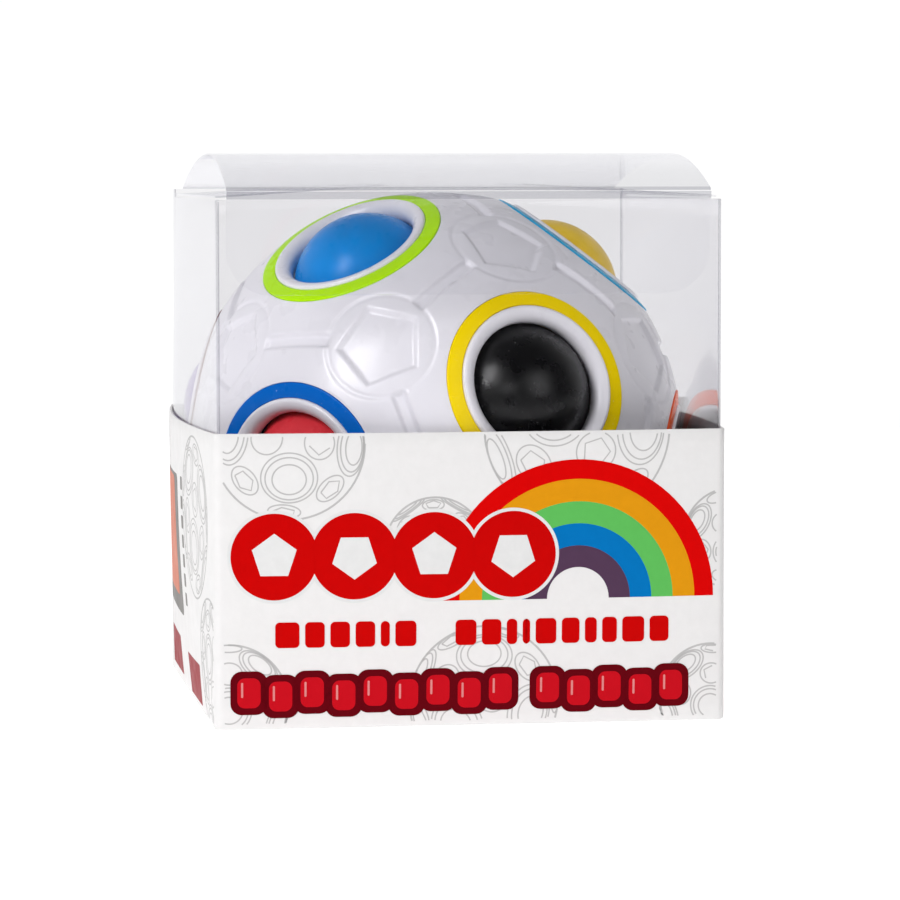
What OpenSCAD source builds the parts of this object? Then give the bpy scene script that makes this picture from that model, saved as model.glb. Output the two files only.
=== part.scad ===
/* [Puzzle ball] */
// Outside diameter of the white shell
ball_d = 70; // [66:0.5:70]
// Wall thickness of the white shell
shell_wall = 2.7; // [2.4:0.1:3]
// Diameter of each small coloured ball
small_ball_d = 20.6; // [20:0.1:20.8]
// Distance from the puzzle's centre to the tip of a small ball in its seat
tip_reach = 36.3; // [36:0.1:36.5]
// Outside diameter of each coloured ring
ring_od = 26.1; // [25.5:0.1:26.4]
// Inside diameter of each coloured ring
ring_id = 22.1; // [21.9:0.1:22.5]
// Diameter of the throat that holds each small ball in
throat_d = 17.9; // [17.5:0.1:18]
// Width of the raised grooves that join the round panels
channel_w = 3; // [2:0.25:3.5]
// Depth of those grooves
channel_depth = 0.8; // [0.5:0.1:1]

/* [How the ball lies in the box] */
// Lean of the first hole away from straight up
ball_lean = 73.8; // [0:0.1:180]
// Compass direction of that lean
ball_heading = -72.5; // [-180:0.5:180]
// Turn of the ball about its first hole
ball_spin = 69.5; // [0:0.5:360]

/* [Clear box] */
// Width of the clear box at its corners
box_w = 67.8; // [67:0.2:70]
// Depth of the clear box at its corners
box_d = 68.8; // [67:0.2:70]
// Half width of the clear box at the middle of its bulging walls
wall_mid = 35.95; // [35.8:0.05:36.5]
// Height of the clear box's front wall above the ground
box_top = 70; // [69:0.5:74]
// Thickness of the clear sheet
film_t = 0.25; // [0.2:0.05:0.35]
// How far the back crease of the lid stands above the front wall
crease_rise = 1.3; // [1:0.1:2]
// Rise of the arched lid above its creases
lid_rise = 4.9; // [3:0.1:6]
// Length of the tuck flap
tuck_len = 14; // [10:0.5:16]
// Slant of the tuck flap behind the front wall
tuck_slant = 7.5; // [7:0.5:9]
// Length of each dust flap
dust_len = 24; // [16:1:25]

/* [Card tray] */
// Height of the card tray
card_h = 39.3; // [30:0.5:50]
// Thickness of the card
card_t = 0.4; // [0.3:0.05:0.6]

/* [Hidden] */

$fn = 96;
// facets of the large arcs of the bulging walls and the lid
arc_fn = 720;
slack = 0.12;
ring_gap = 0.03;

// the ball's own sizes
ball_r = ball_d / 2;
inner_r = ball_r - shell_wall;
small_r = small_ball_d / 2;
seat_axial = tip_reach - small_r;
seat_r = small_r + slack;
throat_r = throat_d / 2;
collar_wall = 2.2;
collar_r = throat_r + collar_wall;
collar_low = seat_axial + 3;
bore_r = ring_od / 2 + ring_gap;
// where the straight bores of the holes start, just clear of each other
bore_low = ball_r - 6.5;
flange_r = bore_r + 0.9;
ring_groove_depth = 1.2;
groove_floor = sqrt(pow(ball_r, 2) - pow(bore_r, 2)) - ring_groove_depth;
floor_t = 1.1;
lip_inner = 9.1;
lip_w = ring_id / 2 - ring_gap - lip_inner;
lip_r = lip_inner + lip_w / 2;
lip_axial = ball_r - 2.25;
ring_t_outer = 1.4;
ring_t_inner = 1.75;
core_gap = 1;
core_r = seat_axial - small_r - core_gap;
panel_r = 7.6;
pentagon_r = 5.8;
pentagon_depth = 0.8;
tongue_half = 1.5;
tongue_r = inner_r - 1.2;
// turns the start of the revolved dome clear of the holes
seam_turn = 29;

// angles of the twelve holes, which lie as on a twelve-sided solid
hole_polar = acos(1 / sqrt(5));
half_step = hole_polar / 2;
panel_polar = acos(sqrt((5 + 2 * sqrt(5)) / 15));
belt_polar = acos(sqrt((5 - 2 * sqrt(5)) / 15));

// polar angle and azimuth of hole i
function hole(i) =
  i == 0 ? [0, 0] :
  i <= 5 ? [hole_polar, 72 * (i - 1)] :
  i <= 10 ? [180 - hole_polar, 72 * (i - 6) + 36] : [180, 0];

// polar angle and azimuth of the ten round panels of a half, each between three holes
PANELS = [for (k = [0:4], p = [panel_polar, belt_polar]) [p, 36 + 72 * k]];

// polar angle, azimuth and turn of the grooves of a half, each between two holes
GROOVES = [
  for (k = [0:4]) [half_step, 72 * k, 90],
  for (k = [0:4]) [90 - half_step, 36 + 72 * k, 0],
  for (k = [0:9]) [90, 18 + 36 * k, k % 2 == 0 ? half_step - 90 : 90 - half_step]
];
// arc from round panel to round panel, less the two panels' own radii
groove_span = 41.81 - 2 * asin(panel_r / ball_r) + 3;

// the pack, from the ground up
card_gap = slack;
box_floor = card_t + card_gap;
// room between the puzzle and the sheet, under it and beside it
rest_gap = 0.15;
side_gap = 0.1;
ball_z = box_floor + film_t + rest_gap + ball_r;
wall_reach = wall_mid - film_t - side_gap;
crease_z = box_top + crease_rise;
crease_y = box_d / 2 - film_t / 2;
lid_side_gap = 1.45;
lid_w = box_w - 2 * lid_side_gap;
crease_gap = 0.25;
lid_r = (pow(crease_y, 2) + pow(lid_rise, 2)) / (2 * lid_rise);
dust_tilt = 3;
dust_x = box_w / 2 - film_t;
dust_inset = 2.5;
dust_back_extra = 2;

// radius of the arc through two corners a chord apart that bulges to mid
function bulge_r(half, chord, mid) = (pow(chord, 2) + pow(mid - half, 2)) / (2 * (mid - half));

// plan of the box, moved out by off
module plan(off) {
  rx = bulge_r(box_w / 2, box_d / 2, wall_mid);
  ry = bulge_r(box_d / 2, box_w / 2, wall_mid);
  intersection() {
    translate([rx - wall_mid, 0]) circle(r = rx + off, $fn = arc_fn);
    translate([wall_mid - rx, 0]) circle(r = rx + off, $fn = arc_fn);
    translate([0, ry - wall_mid]) circle(r = ry + off, $fn = arc_fn);
    translate([0, wall_mid - ry]) circle(r = ry + off, $fn = arc_fn);
  }
}

// an open-topped folded box with walls and a floor
module folded_box(low, high, off, t) {
  difference() {
    translate([0, 0, low]) linear_extrude(high - low) plan(off);
    translate([0, 0, low + t]) linear_extrude(high - low) plan(off - t);
  }
}

module card_tray() {
  color("white") folded_box(0, card_h, card_gap + card_t, card_t);
}

// the back wall is taller than the other three and carries the lid's crease
module clear_box() {
  color([0.9, 0.9, 0.95, 0.3])
  difference() {
    folded_box(box_floor, crease_z - crease_gap, 0, film_t);
    translate([-box_w, -box_d - 2, box_top]) cube([2 * box_w, 1.5 * box_d, 10]);
  }
}

module lid_panel() {
  color([0.9, 0.9, 0.95, 0.3])
  translate([-lid_w / 2, 0, 0])
  rotate([90, 0, 90])
  linear_extrude(lid_w)
  intersection() {
    translate([0, crease_z + lid_rise - lid_r])
    difference() {
      circle(r = lid_r, $fn = arc_fn);
      circle(r = lid_r - film_t, $fn = arc_fn);
    }
    translate([crease_gap - crease_y, crease_z - 1]) square([2 * (crease_y - crease_gap), 10]);
  }
}

// hangs from the lid's front crease and leans back behind the front wall
module tuck_flap() {
  corner = 6;
  color([0.9, 0.9, 0.95, 0.3])
  translate([0, -crease_y, crease_z])
  rotate([90 - tuck_slant, 0, 180])
  translate([0, 0, -film_t / 2])
  linear_extrude(film_t) {
    translate([-lid_w / 2, -tuck_len + corner]) square([lid_w, tuck_len - corner - crease_gap]);
    translate([corner - lid_w / 2, -tuck_len]) square([lid_w - 2 * corner, corner + 1]);
    for (s = [-1, 1]) translate([s * (lid_w / 2 - corner), corner - tuck_len]) circle(r = corner);
  }
}

// side = -1 for the left flap, 1 for the right; its back edge is cut back so that the lid opens first
module dust_flap(side) {
  front = dust_inset - box_d / 2;
  back = box_d / 2 - dust_inset;
  color([0.9, 0.9, 0.95, 0.3])
  translate([side * dust_x, 0, box_top + crease_gap])
  rotate([0, side * dust_tilt, 0])
  linear_extrude(film_t)
  polygon([
    [0, front], [0, back], [-side * dust_len, back - dust_len - dust_back_extra],
    [-side * dust_len, front + dust_len / 2]
  ]);
}

module dust_flap_left() {
  dust_flap(-1);
}

module dust_flap_right() {
  dust_flap(1);
}

// puts its children in the ball's own frame, with hole 0 on +Z
module in_ball() {
  translate([0, 0, ball_z]) rotate([0, ball_lean, ball_heading]) rotate([0, 0, ball_spin]) children();
}

module at_hole(i) {
  rotate([0, hole(i)[0], hole(i)[1]]) children();
}

// section of the collar round a hole: seat, throat, rounded lip and the floor under the ring
module collar_section() {
  difference() {
    union() {
      translate([throat_r, collar_low]) square([collar_r - throat_r, groove_floor - collar_low]);
      translate([throat_r, groove_floor - floor_t]) square([flange_r - throat_r, floor_t]);
      translate([throat_r, groove_floor - 0.1]) square([lip_r - throat_r, 0.5]);
      translate([lip_r - lip_w / 2, groove_floor - 0.1]) square([lip_w, lip_axial - groove_floor + 0.1]);
      translate([lip_r, lip_axial]) circle(r = lip_w / 2);
    }
    translate([0, seat_axial]) circle(r = seat_r);
  }
}

module collar() {
  rotate_extrude() collar_section();
}

// groove between two round panels, cut by a round cutter that follows the shell
module groove_cutter() {
  cutter_r = (pow(channel_w / 2, 2) + pow(channel_depth, 2)) / (2 * channel_depth);
  rotate([90, 0, 0])
  rotate([0, 0, 90 - groove_span / 2])
  rotate_extrude(angle = groove_span)
  translate([ball_r - channel_depth + cutter_r, 0]) circle(r = cutter_r);
}

// shallow five-sided recess whose flat side faces the nearer pole
module pentagon_cutter() {
  floor_axial = ball_r - pentagon_depth;
  translate([0, 0, floor_axial]) cylinder(r = pentagon_r, h = 2, $fn = 5);
}

// section of the bare half shell, open at the hole on its pole
module dome_section() {
  difference() {
    intersection() {
      circle(r = ball_r);
      square(ball_r + 1);
    }
    circle(r = inner_r);
    square([bore_r, ball_r + 1]);
  }
}

// half of the shell, from hole 0 to the equator, with six collared holes, panels and grooves
module half_shell() {
  difference() {
    union() {
      difference() {
        rotate([0, 0, seam_turn]) rotate_extrude() dome_section();
        for (i = [1:5]) at_hole(i) translate([0, 0, bore_low]) cylinder(r = bore_r, h = 8);
      }
      for (i = [0:5]) at_hole(i) collar();
    }
    for (p = PANELS) rotate([0, p[0], p[1]]) pentagon_cutter();
    for (g = GROOVES) rotate([0, g[0], g[1]]) rotate([0, 0, g[2]]) groove_cutter();
  }
}

module shell_front_half() {
  color("ghostwhite")
  in_ball()
  union() {
    half_shell();
    // tongue that centres the back half
    translate([0, 0, -tongue_half]) difference() {
      union() {
        cylinder(r = inner_r - 0.1, h = tongue_half + 0.5);
        translate([0, 0, tongue_half]) cylinder(r = inner_r + 0.6, h = tongue_half);
      }
      translate([0, 0, -1]) cylinder(r = tongue_r, h = 2 * tongue_half + 2);
    }
  }
}

module shell_back_half() {
  color("ghostwhite") in_ball() rotate([180, 0, 36]) half_shell();
}

// foam ball that pushes the small balls out against their seats
module soft_core() {
  color("dimgray") in_ball() sphere(r = core_r);
}

// flat ring pressed into the groove round hole i
module ring(i) {
  low = groove_floor + ring_gap;
  inner = ring_id / 2;
  outer = ring_od / 2;
  in_ball() at_hole(i) rotate_extrude()
  polygon([[inner, low], [outer, low], [outer, low + ring_t_outer], [inner, low + ring_t_inner]]);
}

// how much of hole i's axis points up, from -1 to 1, as the ball lies in the box
function rise(i) = cos(ball_lean) * cos(hole(i)[0]) -
  sin(ball_lean) * sin(hole(i)[0]) * cos(hole(i)[1] + ball_spin);

// a small ball sits in its seat, or is pushed in as far as a wall would push it when the puzzle turns
function rest_axial(i) = min(seat_axial, (wall_reach - small_r) / sqrt(1 - pow(rise(i), 2)));

module small_ball(i) {
  in_ball() at_hole(i) translate([0, 0, rest_axial(i)]) sphere(r = small_r);
}

module ring_yellow() { color("gold") ring(0); }
module ring_orange() { color("coral") ring(1); }
module ring_light_blue() { color("deepskyblue") ring(2); }
module ring_lime() { color("greenyellow") ring(3); }
module ring_blue() { color("royalblue") ring(4); }
module ring_red() { color("red") ring(5); }
module ring_purple() { color("purple") ring(6); }
module ring_pink() { color("hotpink") ring(7); }
module ring_maroon() { color("maroon") ring(8); }
module ring_green() { color("green") ring(9); }
module ring_turquoise() { color("turquoise") ring(10); }
module ring_black() { color("black") ring(11); }

module ball_black() { color("black") small_ball(0); }
module ball_maroon() { color("maroon") small_ball(1); }
module ball_yellow() { color("goldenrod") small_ball(2); }
module ball_sky_blue() { color("dodgerblue") small_ball(3); }
module ball_red() { color("crimson") small_ball(4); }
module ball_lime() { color("greenyellow") small_ball(5); }
module ball_orange() { color("darkorange") small_ball(6); }
module ball_purple() { color("purple") small_ball(8); }
module ball_pink() { color("hotpink") small_ball(9); }
module ball_turquoise() { color("turquoise") small_ball(10); }
module ball_green() { color("green") small_ball(11); }

card_tray();
clear_box();
lid_panel();
tuck_flap();
dust_flap_left();
dust_flap_right();
shell_front_half();
shell_back_half();
soft_core();
ring_yellow();
ring_orange();
ring_light_blue();
ring_lime();
ring_blue();
ring_red();
ring_purple();
ring_pink();
ring_maroon();
ring_green();
ring_turquoise();
ring_black();
ball_black();
ball_maroon();
ball_yellow();
ball_sky_blue();
ball_red();
ball_lime();
ball_orange();
ball_purple();
ball_pink();
ball_turquoise();
ball_green();
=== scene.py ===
import math

import bmesh
import bpy
import numpy as np
from mathutils import Matrix, Vector


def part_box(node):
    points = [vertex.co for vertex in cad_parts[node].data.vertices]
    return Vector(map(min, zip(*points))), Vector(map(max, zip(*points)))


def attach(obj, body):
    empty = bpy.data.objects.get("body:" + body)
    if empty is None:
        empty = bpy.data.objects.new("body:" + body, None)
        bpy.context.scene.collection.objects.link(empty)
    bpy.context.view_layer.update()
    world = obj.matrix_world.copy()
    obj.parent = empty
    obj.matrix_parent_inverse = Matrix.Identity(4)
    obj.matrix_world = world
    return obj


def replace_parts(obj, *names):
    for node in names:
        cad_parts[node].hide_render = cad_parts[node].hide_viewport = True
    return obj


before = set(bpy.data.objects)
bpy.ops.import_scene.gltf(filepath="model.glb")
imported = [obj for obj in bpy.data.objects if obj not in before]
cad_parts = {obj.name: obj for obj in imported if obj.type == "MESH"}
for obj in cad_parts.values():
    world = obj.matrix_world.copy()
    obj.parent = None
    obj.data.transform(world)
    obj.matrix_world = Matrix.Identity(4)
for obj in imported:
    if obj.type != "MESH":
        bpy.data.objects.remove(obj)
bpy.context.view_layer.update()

# ---- sizes in millimetres, as in the CAD model ----
MM = 0.001
# the white shell, and the bore and groove that hold a ring
BALL_R = 35.0
INNER_R = 32.3
BORE_R = 13.08
GROOVE_FLOOR = 31.27
RING_IN, RING_OUT = 11.05, 13.05
# the collar behind a ring, with its rounded lip, and the throat and seat of a small ball
THROAT_R = 8.95
LIP_SIDE, LIP_EDGE, LIP_ROUND = 33.0, 0.46, 1.55
COLLAR_R, COLLAR_LOW = 11.15, 29.0
SEAT_R, SEAT_AXIAL = 10.42, 26.0
PRESS = 4.4
# the clear box at its folds, half across and half deep, and its sheet
CORNER_X, CORNER_Y = 33.9, 34.4
BOX_TOP = 70.0
CREASE_RISE = 1.3
FILM_T = 0.25
# the card tray
CARD_T = 0.4
CARD_GAP = 0.12


def unit(v):
    return np.asarray(v, float) / np.linalg.norm(v)


def turn_to(axis, across):
    """A turn that takes +Z to one direction and +X to another, square to it."""
    return np.column_stack((across, np.cross(axis, across), axis))


def node_centre(name):
    low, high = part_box(name)
    return np.array((low + high) / 2)


# ---- the puzzle ball's own frame: hole 0 on +Z, hole 1 at azimuth 0 ----
# each small ball and the number of its hole; hole 7 is empty
SMALL_BALLS = {
    "ball_black": 0, "ball_maroon": 1, "ball_yellow": 2, "ball_sky_blue": 3,
    "ball_red": 4, "ball_lime": 5, "ball_orange": 6, "ball_purple": 8,
    "ball_pink": 9, "ball_turquoise": 10, "ball_green": 11,
}
# the ring of each hole, in order
RINGS = (
    "ring_yellow", "ring_orange", "ring_light_blue", "ring_lime", "ring_blue", "ring_red",
    "ring_purple", "ring_pink", "ring_maroon", "ring_green", "ring_turquoise", "ring_black",
)
HOLE_POLAR = math.acos(1 / math.sqrt(5))
PANEL_POLAR = math.acos(math.sqrt((5 + 2 * math.sqrt(5)) / 15))
BELT_POLAR = math.acos(math.sqrt((5 - 2 * math.sqrt(5)) / 15))

CENTRE = node_centre("soft_core")
POLE = unit(node_centre("ball_black") - CENTRE)
FIRST = unit(node_centre("ball_maroon") - CENTRE)
AXIS_X = unit(FIRST - POLE * (FIRST @ POLE))
BALL_TURN = turn_to(POLE, AXIS_X)


def direction(polar, azimuth):
    """Unit vector of the ball's frame at an angle from the pole and an azimuth."""
    return np.array([
        math.sin(polar) * math.cos(azimuth),
        math.sin(polar) * math.sin(azimuth),
        math.cos(polar),
    ])


FIFTH = math.radians(72)
HOLES = np.array(
    [direction(0, 0)]
    + [direction(HOLE_POLAR, FIFTH * k) for k in range(5)]
    + [direction(math.pi - HOLE_POLAR, FIFTH * (k + 0.5)) for k in range(5)]
    + [direction(math.pi, 0)]
)
PANELS = np.array(
    [direction(p, FIFTH * (k + 0.5)) for p in (PANEL_POLAR, BELT_POLAR) for k in range(5)]
    + [direction(math.pi - p, FIFTH * k) for p in (PANEL_POLAR, BELT_POLAR) for k in range(5)]
)


def from_ball(points):
    """Points in the ball's frame, in mm, as points in the row frame, in metres."""
    return CENTRE + (np.asarray(points) * MM) @ BALL_TURN.T


# ---- mesh helpers ----
def new_mesh(name, points, faces, material, body, sharp=40):
    """One piece from points in metres. Its smooth shading breaks at edges of more than sharp degrees."""
    mesh = bpy.data.meshes.new(name)
    mesh.from_pydata([tuple(p) for p in points], [], faces)
    mesh.validate()
    mesh.materials.append(material)
    mesh.shade_smooth()
    mesh.set_sharp_from_angle(angle=math.radians(sharp))
    obj = bpy.data.objects.new(name, mesh)
    bpy.context.scene.collection.objects.link(obj)
    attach(obj, body)
    return obj


def skin(rows):
    """Faces between neighbouring closed rows of equal length, whose points are numbered in order."""
    faces = []
    n = len(rows[0])
    for a in range(len(rows) - 1):
        b = a + 1
        for j in range(n):
            k = (j + 1) % n
            faces.append((a * n + j, a * n + k, b * n + k, b * n + j))
    return faces


def revolve(section, steps):
    """Points and faces of a closed section of (radius, height) turned about Z."""
    turn = np.arange(steps) * 2 * math.pi / steps
    rows = []
    for r, z in section:
        rows.append(np.column_stack((r * np.cos(turn), r * np.sin(turn), np.full(steps, z))))
    faces = skin(rows + rows[:1])
    total = len(section) * steps
    faces = [tuple(i % total for i in f) for f in faces]
    return np.vstack(rows), faces


def rim_of(index):
    """The numbers round the edge of a grid of point numbers."""
    sides = (index[0, :], index[1:, -1], index[-1, -2::-1], index[-2:0:-1, 0])
    return [int(i) for side in sides for i in side]


def smooth_step(low, high, x):
    """0 below low, 1 above high, and a smooth rise between them."""
    t = np.clip((x - low) / (high - low), 0, 1)
    return t * t * (3 - 2 * t)


def arc(cx, cy, r, a0, a1, n):
    """n points of an arc about (cx, cy), angles in degrees."""
    a = np.radians(np.linspace(a0, a1, n))
    return list(zip(cx + r * np.cos(a), cy + r * np.sin(a)))


# ---- materials ----
class Nodes:
    """Short calls for building one node material."""

    def __init__(self, name):
        self.material = bpy.data.materials.new(name)
        self.material.use_nodes = True
        self.tree = self.material.node_tree
        self.shader = self.tree.nodes["Principled BSDF"]
        self.output = self.tree.nodes["Material Output"]
        self.place = self.tree.nodes.new("ShaderNodeTexCoord").outputs["Object"]

    def add(self, kind, **inputs):
        node = self.tree.nodes.new(kind)
        for key, value in inputs.items():
            self.put(node.inputs[key.replace("_", " ")], value)
        return node

    def put(self, socket, value):
        if isinstance(value, bpy.types.NodeSocket):
            self.tree.links.new(value, socket)
        else:
            socket.default_value = value

    def noise(self, scale, detail=3.0, rough=0.5):
        """Noise on the object, with this many waves to the metre."""
        node = self.add("ShaderNodeTexNoise", Scale=scale, Detail=detail, Roughness=rough)
        self.put(node.inputs["Vector"], self.place)
        return node.outputs["Fac"]

    def ramp(self, fac, stops):
        """A colour ramp from a list of two (position, colour) stops."""
        node = self.add("ShaderNodeValToRGB", Fac=fac)
        for element, (position, colour) in zip(node.color_ramp.elements, stops):
            element.position = position
            element.color = colour
        return node.outputs["Color"]

    def grey_ramp(self, fac, low, high, at=(0.35, 0.65)):
        return self.ramp(fac, [(at[0], (low,) * 3 + (1,)), (at[1], (high,) * 3 + (1,))])

    def math(self, operation, *values):
        node = self.add("ShaderNodeMath")
        node.operation = operation
        for socket, value in zip(node.inputs, values):
            self.put(socket, value)
        return node.outputs[0]

    def bump(self, height, strength, distance):
        node = self.add("ShaderNodeBump", Strength=strength, Distance=distance, Height=height)
        return node.outputs["Normal"]

    def blend(self, amount, first, second):
        """One colour that goes over to another as amount goes from 0 to 1."""
        node = self.add("ShaderNodeMix")
        node.data_type = "RGBA"
        self.put(node.inputs[0], amount)
        self.put(node.inputs[6], first)
        self.put(node.inputs[7], second)
        return node.outputs[2]


def shade(colour, factor):
    return tuple(min(1.0, c * factor) for c in colour) + (1,)


def moulded_plastic(name, colour, rough, coat, fleck=0.0, spread=0.04, bump=0.03, specular=0.5):
    """Injection-moulded plastic: faint cloudiness, uneven gloss, a fine skin and some pale flecks."""
    m = Nodes(name)
    base = m.ramp(m.noise(90, 4), [(0.3, shade(colour, 1 - spread)), (0.7, shade(colour, 1 + spread))])
    if fleck:
        specks = m.grey_ramp(m.noise(2600, 2, 0.7), 0, 1, (0.70, 0.76))
        base = m.blend(m.math("MULTIPLY", specks, fleck), base, (0.9, 0.9, 0.9, 1))
    m.put(m.shader.inputs["Base Color"], base)
    m.put(m.shader.inputs["Roughness"], m.grey_ramp(m.noise(240, 3), rough * 0.85, rough * 1.2))
    m.put(m.shader.inputs["Normal"], m.bump(m.noise(1500, 2), bump, 0.00005))
    m.shader.inputs["Coat Weight"].default_value = coat
    m.shader.inputs["Coat Roughness"].default_value = 0.08
    m.shader.inputs["Specular IOR Level"].default_value = specular
    return m.material


def satin_rubber(name, colour, specular, rough=0.3):
    """Soft satin rubber with rub marks and a little dust."""
    m = Nodes(name)
    base = m.ramp(m.noise(160, 5, 0.6), [(0.3, shade(colour, 0.9)), (0.75, shade(colour, 1.12))])
    dust = m.grey_ramp(m.noise(2400, 1, 0.4), 0, 1, (0.78, 0.81))
    base = m.blend(m.math("MULTIPLY", dust, 0.22), base, (0.75, 0.75, 0.75, 1))
    m.put(m.shader.inputs["Base Color"], base)
    m.put(m.shader.inputs["Roughness"], m.grey_ramp(m.noise(420, 4, 0.6), rough * 0.8, rough * 1.25))
    m.shader.inputs["Specular IOR Level"].default_value = specular
    m.put(m.shader.inputs["Normal"], m.bump(m.noise(700, 3, 0.6), 0.08, 0.00008))
    return m.material


# painted shade where the sheet is creased: how much of the light that passes the sheet is left there, and
# how much bluer it gets
FOLD_SHADE_LEVEL = 0.82
FOLD_SHADE_BLUE = 1.02
# share of light that the sheet mirrors at a low angle
EDGE_MIRROR = 0.95


def creased(m, folds):
    """1 inside any of the fold boxes and 0 elsewhere: the mask of the painted shade at the folds.

    Each box is (low corner, high corner) in mm, and stands for its mirror images about the axes too."""
    place = m.add("ShaderNodeSeparateXYZ", Vector=m.place)
    distance = [m.math("ABSOLUTE", place.outputs[axis]) for axis in range(3)]
    crease = 0.0
    for low, high in folds:
        inside = 1.0
        for axis in range(3):
            middle = (low[axis] + high[axis]) / 2 * MM
            half = (high[axis] - low[axis]) / 2 * MM
            away = m.math("ABSOLUTE", m.math("SUBTRACT", distance[axis], middle))
            inside = m.math("MULTIPLY", inside, m.math("LESS_THAN", away, half))
        crease = m.math("MAXIMUM", crease, inside)
    return crease


def clear_film(name, tint, folds, shine=0.02):
    """Clear sheet: light goes straight through with a slight tint, and is mirrored more at a low angle.

    shine is the share that is mirrored head-on, and folds lists where the sheet is creased; there painted
    shade darkens it."""
    m = Nodes(name)
    m.tree.nodes.remove(m.shader)
    red, green, blue = tint
    # painted shade: the sheet lets less light through at its folds, and a little bluer
    fold_shade = (red * FOLD_SHADE_LEVEL, green * FOLD_SHADE_LEVEL, blue * FOLD_SHADE_LEVEL * FOLD_SHADE_BLUE, 1)
    passed = m.blend(creased(m, folds), (red, green, blue, 1), fold_shade)
    see = m.add("ShaderNodeBsdfTransparent", Color=passed)
    gloss = m.add("ShaderNodeBsdfGlossy", Color=(0.95, 0.95, 0.965, 1))
    m.put(gloss.inputs["Roughness"], m.grey_ramp(m.noise(35, 2), 0.05, 0.12))
    edge_on = m.add("ShaderNodeLayerWeight", Blend=0.5).outputs["Facing"]
    mirror = m.math("MULTIPLY_ADD", m.math("POWER", edge_on, 5), EDGE_MIRROR, shine)
    both = m.add("ShaderNodeMixShader")
    m.put(both.inputs[0], mirror)
    m.put(both.inputs[1], see.outputs[0])
    m.put(both.inputs[2], gloss.outputs[0])
    m.put(m.output.inputs["Surface"], both.outputs[0])
    return m.material


def printed_card(name, colour, rough=0.45, fibre=0.02, specular=0.3):
    """Coated card: a fine fibre texture, slight shade changes and a soft print sheen."""
    m = Nodes(name)
    stops = [(0.3, shade(colour, 1 - fibre)), (0.7, shade(colour, 1 + fibre))]
    base = m.ramp(m.noise(700, 5, 0.65), stops)
    m.put(m.shader.inputs["Base Color"], base)
    m.put(m.shader.inputs["Roughness"], m.grey_ramp(m.noise(300, 3), rough * 0.85, rough * 1.15))
    m.shader.inputs["Specular IOR Level"].default_value = specular
    m.put(m.shader.inputs["Normal"], m.bump(m.noise(1800, 4, 0.6), 0.05, 0.00005))
    return m.material


def foam():
    """Open-cell foam: dark, matt and pitted."""
    m = Nodes("foam_core")
    base = m.ramp(m.noise(900, 6, 0.7), [(0.35, (0.02, 0.02, 0.022, 1)), (0.7, (0.09, 0.09, 0.1, 1))])
    m.put(m.shader.inputs["Base Color"], base)
    m.put(m.shader.inputs["Roughness"], m.grey_ramp(m.noise(500), 0.85, 1.0))
    m.put(m.shader.inputs["Normal"], m.bump(m.noise(1200, 5, 0.7), 0.7, 0.0003))
    return m.material


# ---- the white shell ----
# round panels, each with a sunk pentagon
PANEL_R = 7.55
PANEL_DROP = 0.12
RIM_LINE = 0.14
RIM_WIDTH = 0.22
PENTAGON_R = 6.2
PENTAGON_DROP = 0.5
PENTAGON_WALL = 0.5
# channels from panel to panel
CHANNEL_DEPTH = 0.65
CHANNEL_FLAT, CHANNEL_HALF = 0.5, 1.2
# points round a hole, on the outside of the shell and on the inside, and rows of them out to the edge
FINE, COARSE = 360, 120
OUTER_ROWS = 30
INNER_ROWS = 4


def channel_height(d):
    """Height of the channels, which run midway between neighbouring holes."""
    cosines = np.sort(d @ HOLES.T, axis=1)
    between = (cosines[:, -1] - cosines[:, -2]) / (2 * math.sin(HOLE_POLAR / 2))
    across = BALL_R * np.arcsin(np.clip(between, 0, 1))
    return -CHANNEL_DEPTH * (1 - smooth_step(CHANNEL_FLAT, CHANNEL_HALF, across))


def pentagon_height(d, panel):
    """Height of the sunk pentagon in the panel nearest to each direction."""
    # one corner points to the nearer of two opposite holes, the lime one or the one behind it
    pole = HOLES[RINGS.index("ring_lime")]
    upright = np.sign(panel @ pole)[:, None] * pole
    corner = upright - panel * np.sum(upright * panel, axis=1, keepdims=True)
    corner /= np.linalg.norm(corner, axis=1, keepdims=True)
    side = np.cross(panel, corner)
    u = BALL_R * np.sum(d * corner, axis=1)
    v = BALL_R * np.sum(d * side, axis=1)
    turns = FIFTH * (np.arange(5) + 0.5)
    reach = (u[:, None] * np.cos(turns) + v[:, None] * np.sin(turns)).max(1)
    edge = PENTAGON_R * math.cos(FIFTH / 2)
    return -PENTAGON_DROP * (1 - smooth_step(edge - PENTAGON_WALL, edge, reach))


def relief(d):
    """Height of the shell's surface above its sphere, in mm, for unit directions d in the ball's frame."""
    cosines = d @ PANELS.T
    panel = PANELS[cosines.argmax(1)]
    away = BALL_R * np.arccos(np.clip(cosines.max(1), -1, 1))
    land = pentagon_height(d, panel) - PANEL_DROP
    inside = 1 - smooth_step(PANEL_R - 0.2, PANEL_R + 0.25, away)
    rim = -RIM_LINE * np.exp(-((away - PANEL_R) / RIM_WIDTH) ** 2)
    return inside * land + (1 - inside) * channel_height(d) + rim


def collar_section():
    """(radius, height) points of the lip, seat and collar, from the ring's groove to the inner wall."""
    side = RING_IN - 0.04
    lip = [(side, GROOVE_FLOOR), (side, LIP_SIDE)]
    lip += arc(side - LIP_EDGE, LIP_SIDE, LIP_EDGE, 0, 90, 7)[1:]
    lip += arc(THROAT_R + LIP_ROUND, 31.9, LIP_ROUND, 93, 180, 14)
    low = math.degrees(math.asin((COLLAR_LOW - SEAT_AXIAL) / SEAT_R))
    high = math.degrees(math.acos(THROAT_R / SEAT_R))
    seat = arc(0, SEAT_AXIAL, SEAT_R, high, low, 6)
    outside = [(COLLAR_R, COLLAR_LOW), (COLLAR_R, 30.2)]
    return lip + seat + outside


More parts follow.
